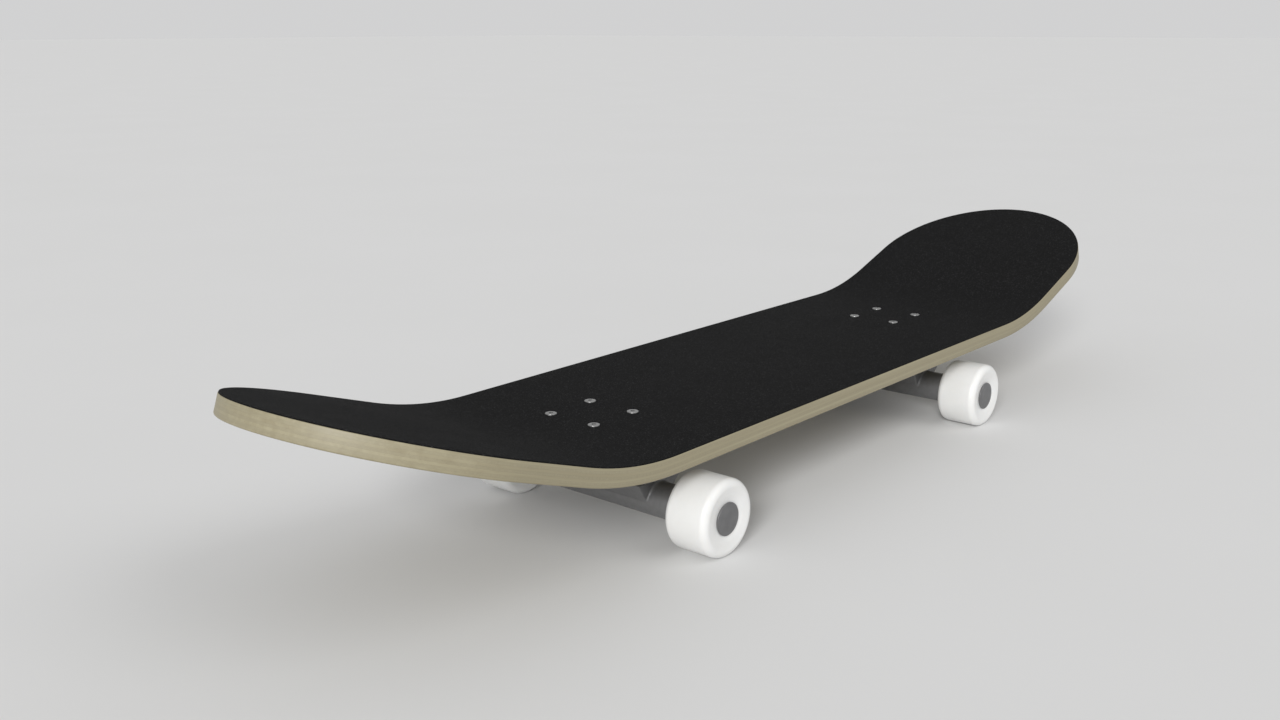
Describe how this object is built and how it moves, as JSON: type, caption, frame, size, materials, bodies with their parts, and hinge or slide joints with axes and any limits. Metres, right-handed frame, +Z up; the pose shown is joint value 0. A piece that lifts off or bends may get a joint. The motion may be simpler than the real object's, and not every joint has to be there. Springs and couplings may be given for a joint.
{
  "type": "skateboard",
  "caption": "Full-size kicked skateboard with a gritted maple deck, steering trucks on rubber bushings and free-rolling urethane wheels.",
  "frame": {"origin": "on the ground under the middle of the deck, level with the bottom of the wheels", "axes": "+X towards the nose, +Y to the rider's left when facing the nose, +Z up from the ground through the deck"},
  "size_m": [0.982, 0.227, 0.1529],
  "materials": {
    "maple_deck": "sealed maple plies, satin",
    "grip": "black abrasive grit, very rough",
    "truck_metal": "cast, lightly tumbled",
    "kingpin_steel": "black oxide",
    "zinc_steel": "zinc plated",
    "cap_steel": "dark grey, satin",
    "bearing_steel": "ground",
    "wheel_urethane": "white cast urethane, satin",
    "bushing_rubber": "cast urethane, satin",
    "pivot_plastic": "moulded"
  },
  "bodies": {
    "board": {"deck": "maple_deck", "grip_tape": "grip", "tail_baseplate": "truck_metal", "tail_pivot_cup": "pivot_plastic", "tail_kingpin": "kingpin_steel", "tail_kingpin_nut": "zinc_steel", "tail_board_side_bushing": "bushing_rubber", "tail_road_side_bushing": "bushing_rubber", "tail_board_side_washer": "zinc_steel", "tail_road_side_washer": "zinc_steel", "tail_deck_bolt_1": "zinc_steel", "tail_deck_bolt_2": "zinc_steel", "tail_deck_bolt_3": "zinc_steel", "tail_deck_bolt_4": "zinc_steel", "tail_lock_nut_1": "zinc_steel", "tail_lock_nut_2": "zinc_steel", "tail_lock_nut_3": "zinc_steel", "tail_lock_nut_4": "zinc_steel", "nose_baseplate": "truck_metal", "nose_pivot_cup": "pivot_plastic", "nose_kingpin": "kingpin_steel", "nose_kingpin_nut": "zinc_steel", "nose_board_side_bushing": "bushing_rubber", "nose_road_side_bushing": "bushing_rubber", "nose_board_side_washer": "zinc_steel", "nose_road_side_washer": "zinc_steel", "nose_deck_bolt_1": "zinc_steel", "nose_deck_bolt_2": "zinc_steel", "nose_deck_bolt_3": "zinc_steel", "nose_deck_bolt_4": "zinc_steel", "nose_lock_nut_1": "zinc_steel", "nose_lock_nut_2": "zinc_steel", "nose_lock_nut_3": "zinc_steel", "nose_lock_nut_4": "zinc_steel"},
    "tail_truck": {"tail_hanger": "truck_metal", "tail_axle": "zinc_steel", "tail_left_bearing_spacer": "zinc_steel", "tail_left_axle_cap_nut": "cap_steel", "tail_right_bearing_spacer": "zinc_steel", "tail_right_axle_cap_nut": "cap_steel"},
    "nose_truck": {"nose_hanger": "truck_metal", "nose_axle": "zinc_steel", "nose_left_bearing_spacer": "zinc_steel", "nose_left_axle_cap_nut": "cap_steel", "nose_right_bearing_spacer": "zinc_steel", "nose_right_axle_cap_nut": "cap_steel"},
    "tail_left_wheel": {"tail_left_wheel": "wheel_urethane", "tail_left_inner_bearing": "bearing_steel", "tail_left_outer_bearing": "bearing_steel"},
    "tail_right_wheel": {"tail_right_wheel": "wheel_urethane", "tail_right_inner_bearing": "bearing_steel", "tail_right_outer_bearing": "bearing_steel"},
    "nose_left_wheel": {"nose_left_wheel": "wheel_urethane", "nose_left_inner_bearing": "bearing_steel", "nose_left_outer_bearing": "bearing_steel"},
    "nose_right_wheel": {"nose_right_wheel": "wheel_urethane", "nose_right_inner_bearing": "bearing_steel", "nose_right_outer_bearing": "bearing_steel"}
  },
  "joints": [
    {"name": "tail_steer", "type": "hinge", "parent": "board", "child": "tail_truck", "pos_m": [-0.17616, 0, 0.03635], "axis": [-0.891, 0, 0.454], "range_deg": [-7, 7], "stiffness_Nm_per_rad": 30, "deforming": ["tail_board_side_bushing", "tail_road_side_bushing"]},
    {"name": "nose_steer", "type": "hinge", "parent": "board", "child": "nose_truck", "pos_m": [0.16277, 0, 0.03635], "axis": [0.891, 0, 0.454], "range_deg": [-7, 7], "stiffness_Nm_per_rad": 30, "deforming": ["nose_board_side_bushing", "nose_road_side_bushing"]},
    {"name": "tail_left_roll", "type": "hinge", "parent": "tail_truck", "child": "tail_left_wheel", "pos_m": [-0.19996, 0, 0.0279], "axis": [0, 1, 0], "continuous": true},
    {"name": "tail_right_roll", "type": "hinge", "parent": "tail_truck", "child": "tail_right_wheel", "pos_m": [-0.19996, 0, 0.0279], "axis": [0, 1, 0], "continuous": true},
    {"name": "nose_left_roll", "type": "hinge", "parent": "nose_truck", "child": "nose_left_wheel", "pos_m": [0.18657, 0, 0.0279], "axis": [0, 1, 0], "continuous": true},
    {"name": "nose_right_roll", "type": "hinge", "parent": "nose_truck", "child": "nose_right_wheel", "pos_m": [0.18657, 0, 0.0279], "axis": [0, 1, 0], "continuous": true}
  ]
}
